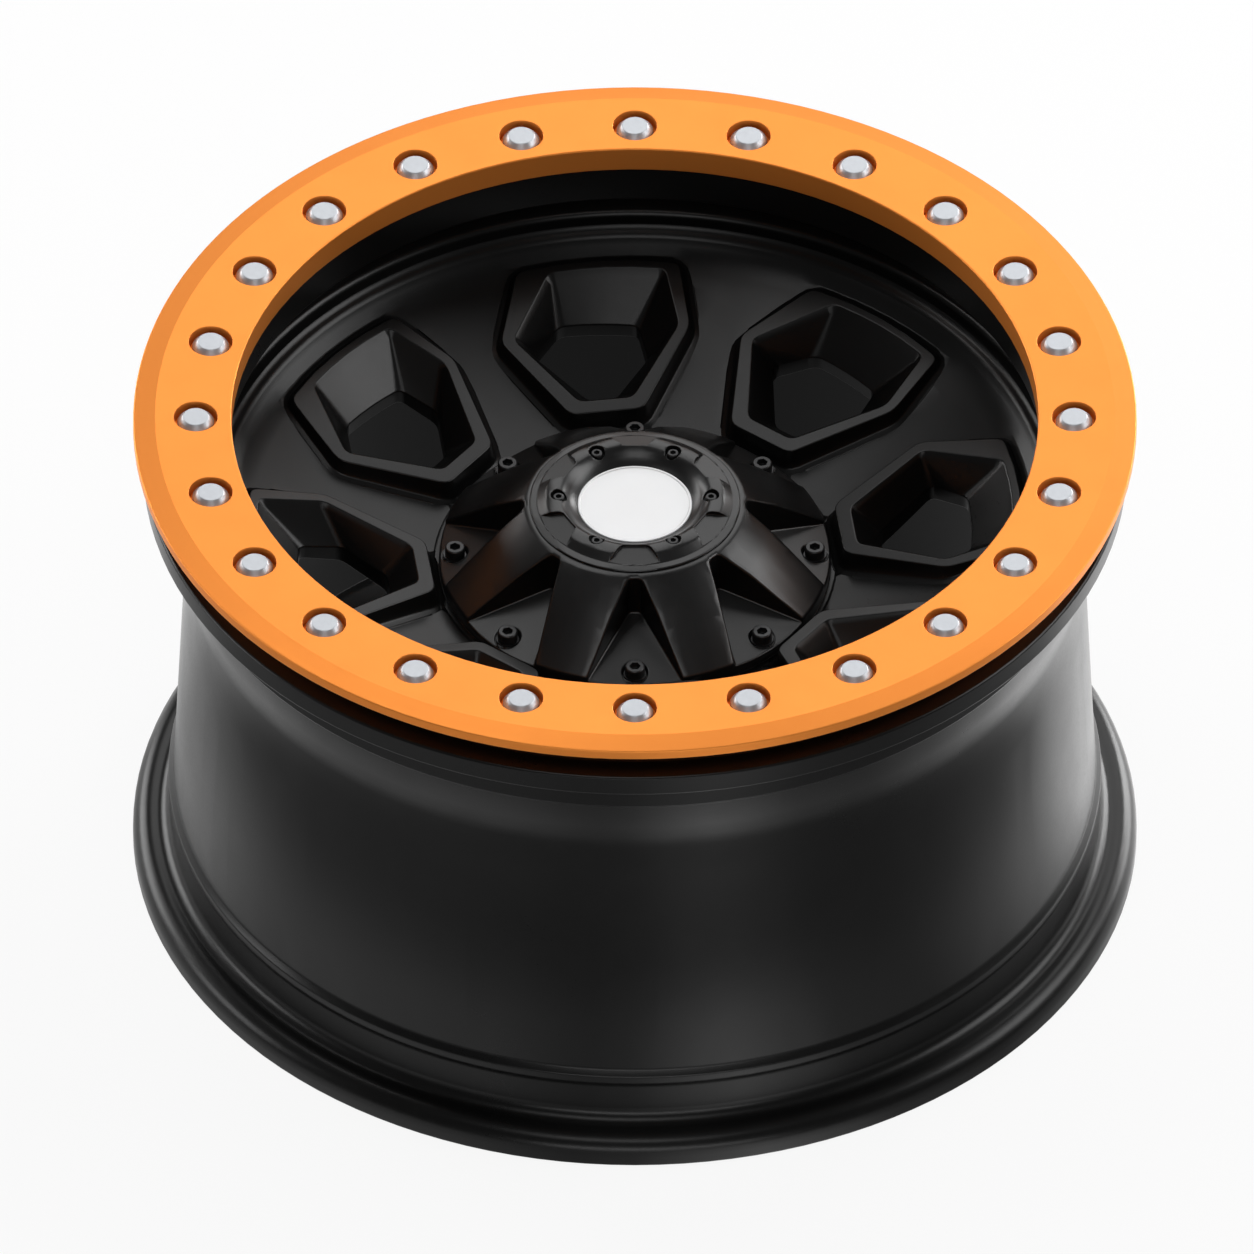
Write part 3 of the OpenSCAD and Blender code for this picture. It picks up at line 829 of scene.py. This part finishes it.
@dataclass
class Studio:
    """Floor, lamps, world light and camera.

    The floor's painted light, which only the coat's reflections see, is given in levels by azimuth, in
    degrees to the right of the camera's side, as painted streaks of reflection, and a darker band of painted
    shade nearer the front of the wheel has a level of its own.
    """

    elevation: float = 41.51
    view_width: float = 0.5889
    aim: tuple[float, float, float] = (-0.0037, 0.0, 0.1299)
    camera_distance: float = 3.0
    camera_reach: float = 50.0
    floor_size: float = 14.0
    floor_tones: tuple[Colour, Colour] = ((0.82, 0.82, 0.82), (0.84, 0.84, 0.84))
    floor_grain: Grain = Grain(3.0)
    covered_radius: float = 0.228
    world_level: float = 0.08
    seen_level: float = 1.0
    white_share: float = 0.9
    mirrored_peak: float = 2.0
    # Painted shade: level of the floor's glow under the wheel as glossy rays see it
    painted_underside_level: float = 0.3
    # Painted reflections: levels of the floor's glow by azimuth, seen only by glossy rays, which put
    # reflected streaks on the barrel
    painted_streaks: Stops = (
        (-180.0, 0.4), (-150.0, 0.6), (-126.0, 1.5), (-106.0, 0.75), (-85.0, 0.8), (-64.0, 0.62),
        (-37.0, 0.76), (-21.0, 0.7), (-7.0, 0.42), (0.0, 0.58), (8.0, 1.3), (15.0, 1.8), (22.0, 1.2),
        (32.0, 0.46), (48.0, 0.3), (64.0, 0.6), (80.0, 1.1), (93.0, 2.0), (126.0, 1.5), (150.0, 0.6),
        (180.0, 0.4))
    # Painted shade in reflections: a darker band of the floor's glow in front of the wheel, by distance from
    # the axis and by azimuth
    painted_dark_band: Stops = ((0.31, 0.0), (0.34, 1.0), (0.4, 1.0), (0.43, 0.45), (1.0, 0.45))
    painted_band_arc: Stops = ((-105.0, 0.0), (-85.0, 1.0), (85.0, 1.0), (105.0, 0.0))
    painted_band_level: float = 0.16
    lamps: tuple[Softbox, ...] = (
        Softbox("front_strip", 3.0, 9.0, 2.4, 1.8, 0.45, 9.5),
        Softbox("front_top_softbox", -4.0, 56.0, 2.4, 1.1, 0.7, 5.5),
        Softbox("top_left_softbox", -134.0, 68.0, 2.4, 0.9, 0.8, 6.0),
        Softbox("back_softbox", 172.0, 44.0, 2.5, 1.8, 2.1, 22.5),
        Softbox("right_softbox", 98.0, 34.0, 2.3, 1.4, 1.0, 19.0),
        Softbox("right_back_softbox", 137.0, 7.0, 2.4, 1.2, 0.8, 27.0),
        Softbox("accent_softbox", 141.0, 19.0, 2.4, 0.4, 0.22, 8.0),
        Softbox("left_softbox", -92.0, 12.0, 2.4, 1.0, 0.7, 9.0),
        Softbox("left_back_softbox", -130.0, 14.0, 2.4, 1.4, 1.0, 27.0))

    def build(self) -> None:
        """Builds the whole studio."""
        self.build_floor()
        self.build_world()
        for lamp in self.lamps:
            self.build_lamp(lamp)
        self.build_camera()
        bpy.context.scene.view_settings.view_transform = "Standard"

    def build_floor(self) -> None:
        """Builds the pale floor."""
        mesh = bpy.data.meshes.new("studio_floor")
        with edited(mesh) as work:
            bmesh.ops.create_grid(work, x_segments=2, y_segments=2, size=self.floor_size / 2)
        mesh.materials.append(self.floor_material())
        floor = bpy.data.objects.new("studio_floor", mesh)
        bpy.context.scene.collection.objects.link(floor)

    def floor_material(self) -> bpy.types.Material:
        """Builds the floor's finish, which shows white to the camera and keeps a soft shadow, and glows with
        painted reflection and painted shade to glossy rays.

        Returns:
            The material.
        """
        g = Graph.of_material("studio_floor")
        path = g.node("ShaderNodeLightPath")
        where = g.place()
        radius = g.length(where)
        open_floor = g.math("GREATER_THAN", radius, self.covered_radius)
        # Painted shade: under the wheel the floor glows dimmer in reflections
        covered = (1.0 - open_floor) * (self.painted_underside_level / self.mirrored_peak)
        mirrored = self.painted_mirrored_light(g, where, radius) * open_floor + covered
        glossy = g.out(path, "Is Glossy Ray")
        direct = g.out(path, "Is Camera Ray") + g.out(path, "Is Transmission Ray")
        # Glossy rays see the floor glow with painted reflection and painted shade; other rays see an even
        # white level
        light = glossy * mirrored + (1.0 - glossy) / self.mirrored_peak
        pale = g.node("ShaderNodeBsdfDiffuse", {},
                      {"Color": g.mix(g.noise(where, self.floor_grain), *self.floor_tones)})
        white = g.node("ShaderNodeEmission", {},
                       {"Color": g.mix(light, NO_LIGHT, WHITE_LIGHT), "Strength": self.mirrored_peak})
        share = (direct * self.white_share * open_floor + glossy).clamped()
        both = g.node("ShaderNodeMixShader", {}, {0: share, 1: g.out(pale), 2: g.out(white)})
        g.node("ShaderNodeOutputMaterial", {}, {"Surface": g.out(both)})
        return g.owner

    def painted_mirrored_light(self, g: Graph, where: Socket, radius: Socket) -> Socket:
        """Painted light of the open floor, which only the wheel's reflections see, as a share of its peak.

        Args:
            g: Graph of the floor's material.
            where: Place on the floor.
            radius: Distance from the wheel's axis.

        Returns:
            The level from 0 to 1.
        """
        axes = g.node("ShaderNodeSeparateXYZ", {}, {"Vector": where})
        turn = g.math("ARCTAN2", g.out(axes, "X"), g.out(axes, "Y") * -1.0) / math.tau + 0.5
        painted_streaks = g.ramp(turn, self.around(self.painted_streaks, self.mirrored_peak))
        painted_dark_band = g.ramp(radius, self.painted_dark_band) * g.ramp(turn, self.around(self.painted_band_arc, 1.0))
        return painted_streaks * (1.0 - painted_dark_band) + painted_dark_band * (self.painted_band_level / self.mirrored_peak)

    @staticmethod
    def around(levels: Stops, peak: float) -> Stops:
        """Stops of a ramp that goes once round the wheel.

        Args:
            levels: Azimuth in degrees and level of each stop.
            peak: Level that the ramp's 1 stands for.

        Returns:
            Place and share of each stop.
        """
        return [(azimuth / 360.0 + 0.5, level / peak) for azimuth, level in levels]

    def build_world(self) -> None:
        """Builds an even sky, which shows white to the camera and gives little light."""
        g = Graph(bpy.data.worlds.new("studio_world"))
        seen = g.out(g.node("ShaderNodeLightPath"), "Is Camera Ray")
        dim, white = (g.node("ShaderNodeBackground", {}, {"Color": (*WHITE_LIGHT, 1.0), "Strength": level})
                      for level in (self.world_level, self.seen_level))
        both = g.node("ShaderNodeMixShader", {}, {0: seen, 1: g.out(dim), 2: g.out(white)})
        g.node("ShaderNodeOutputWorld", {}, {"Surface": g.out(both)})
        bpy.context.scene.world = g.owner

    def build_lamp(self, lamp: Softbox) -> None:
        """Builds one softbox.

        Args:
            lamp: Its place, size and power.
        """
        data = bpy.data.lights.new(lamp.name, "AREA")
        data.shape = "RECTANGLE"
        data.size = lamp.width
        data.size_y = lamp.height
        data.energy = lamp.power
        self.aim_at_wheel(bpy.data.objects.new(lamp.name, data), lamp.azimuth, lamp.elevation, lamp.distance)

    def build_camera(self) -> None:
        """Builds the camera at the photograph's angle."""
        data = bpy.data.cameras.new("camera")
        data.type = "ORTHO"
        data.ortho_scale = self.view_width
        data.clip_end = self.camera_reach
        camera = bpy.data.objects.new("camera", data)
        self.aim_at_wheel(camera, 0.0, self.elevation, self.camera_distance)
        bpy.context.scene.camera = camera

    def aim_at_wheel(self, thing: bpy.types.Object, azimuth: float, elevation: float,
                     distance: float) -> None:
        """Puts a lamp or the camera in the scene, turned toward the wheel.

        Args:
            thing: Lamp or camera.
            azimuth: Degrees to the right of the camera's side.
            elevation: Degrees above the horizon.
            distance: Distance from the aim in metres.
        """
        turn, rise = math.radians(azimuth), math.radians(elevation)
        toward = Vector((math.sin(turn) * math.cos(rise), -math.cos(turn) * math.cos(rise), math.sin(rise)))
        thing.location = Vector(self.aim) + toward * distance
        thing.rotation_mode = "QUATERNION"
        thing.rotation_quaternion = (-toward).to_track_quat("-Z", "Y")
        bpy.context.scene.collection.objects.link(thing)


def main() -> None:
    """Builds the wheel's looks and the studio in order."""
    logging.basicConfig(level=logging.INFO, format="%(name)s: %(message)s")
    finishes = Finishes()
    for assembly in (WheelBody(), ClampRing(), CentreCap()):
        assembly.build(finishes)
        LOG.info("%s done", type(assembly).__name__)
    Studio().build()


if __name__ == "__main__":
    main()
